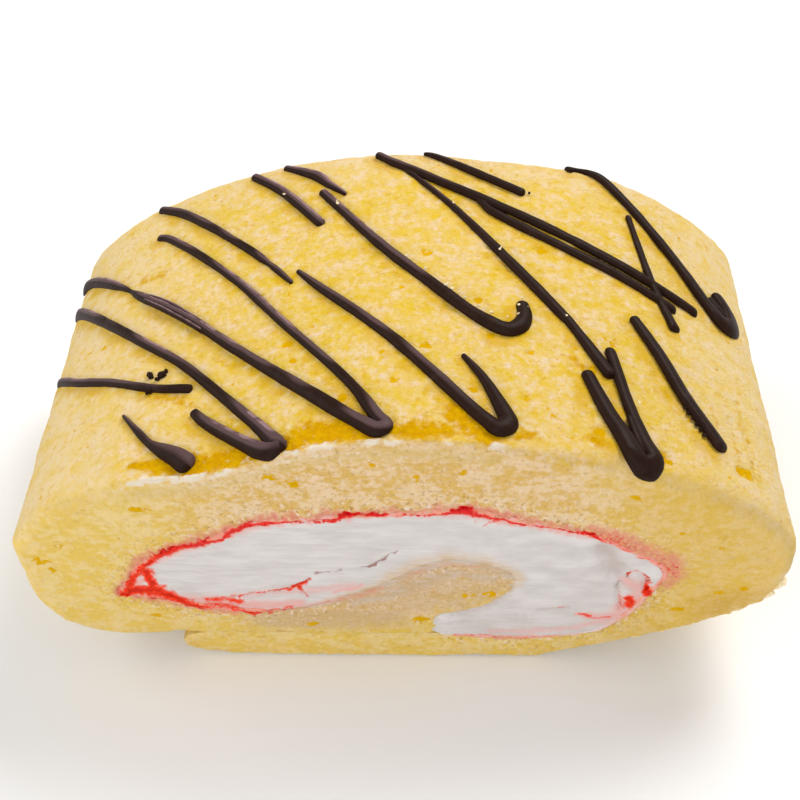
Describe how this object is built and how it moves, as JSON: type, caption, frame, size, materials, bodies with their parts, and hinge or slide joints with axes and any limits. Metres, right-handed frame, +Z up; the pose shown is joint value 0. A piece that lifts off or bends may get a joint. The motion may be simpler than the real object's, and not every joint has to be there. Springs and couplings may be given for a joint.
{
  "type": "rolled sponge cake",
  "caption": "Cut length of rolled sponge cake with whipped cream and strawberry jam inside and chocolate drizzle on top.",
  "frame": {"origin": "middle of the cake's footprint, on the surface that it lies on", "axes": "+Z up; the roll's axis runs along Y with the cut face of the picture towards -Y; +X to the right across the roll"},
  "size_m": [0.11, 0.0628, 0.0496],
  "materials": {
    "sponge": "dry, fine crumb, yellow skin",
    "cream": "soft satin",
    "jam": "wet gloss"
  },
  "bodies": {
    "root": {"sponge": "sponge", "cream": "cream", "jam": "jam"}
  },
  "joints": []
}
